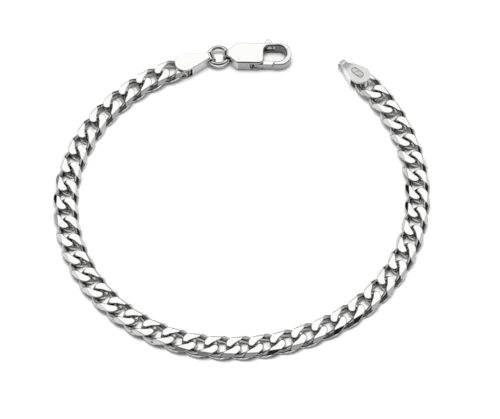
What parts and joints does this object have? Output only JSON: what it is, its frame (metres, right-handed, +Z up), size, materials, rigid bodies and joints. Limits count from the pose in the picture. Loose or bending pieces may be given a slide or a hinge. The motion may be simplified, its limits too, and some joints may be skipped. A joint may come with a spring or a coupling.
{
  "type": "link bracelet",
  "caption": "Flat curb chain bracelet with folded end tabs, a jump ring and a sprung trigger clasp, lying open on a surface.",
  "frame": {"origin": "on the surface that the bracelet lies on, under the middle of its outline", "axes": "+Z up from the surface; -Y towards the viewer of the picture, at the closed side of the loop; +Y at the open side, with the clasp on the -X half and the free tab on the +X half"},
  "size_m": [0.0682, 0.0677, 0.0027],
  "materials": {
    "polished_silver": "polished silver",
    "satin_silver": "satin silver"
  },
  "bodies": {
    "bracelet": {"link_01": "polished_silver", "link_02": "polished_silver", "link_03": "polished_silver", "link_04": "polished_silver", "link_05": "polished_silver", "link_06": "polished_silver", "link_07": "polished_silver", "link_08": "polished_silver", "link_09": "polished_silver", "link_10": "polished_silver", "link_11": "polished_silver", "link_12": "polished_silver", "link_13": "polished_silver", "link_14": "polished_silver", "link_15": "polished_silver", "link_16": "polished_silver", "link_17": "polished_silver", "link_18": "polished_silver", "link_19": "polished_silver", "link_20": "polished_silver", "link_21": "polished_silver", "link_22": "polished_silver", "link_23": "polished_silver", "link_24": "polished_silver", "link_25": "polished_silver", "link_26": "polished_silver", "link_27": "polished_silver", "link_28": "polished_silver", "link_29": "polished_silver", "link_30": "polished_silver", "link_31": "polished_silver", "link_32": "polished_silver", "link_33": "polished_silver", "link_34": "polished_silver", "link_35": "polished_silver", "link_36": "polished_silver", "link_37": "polished_silver", "link_38": "polished_silver", "link_39": "polished_silver", "link_40": "polished_silver", "link_41": "polished_silver", "link_42": "polished_silver", "tail_tab": "satin_silver", "clasp_tab": "polished_silver", "jump_ring": "polished_silver", "clasp_body": "polished_silver", "lever_pin": "polished_silver"},
    "lever": {"clasp_lever": "polished_silver"}
  },
  "joints": [
    {"name": "clasp_lever_hinge", "type": "hinge", "parent": "bracelet", "child": "lever", "pos_m": [0.00264, 0.02871, 0.0013], "axis": [0, 0, 1], "range_deg": [0, 25], "stiffness_Nm_per_rad": 0.004, "springref_deg": -11.46}
  ]
}
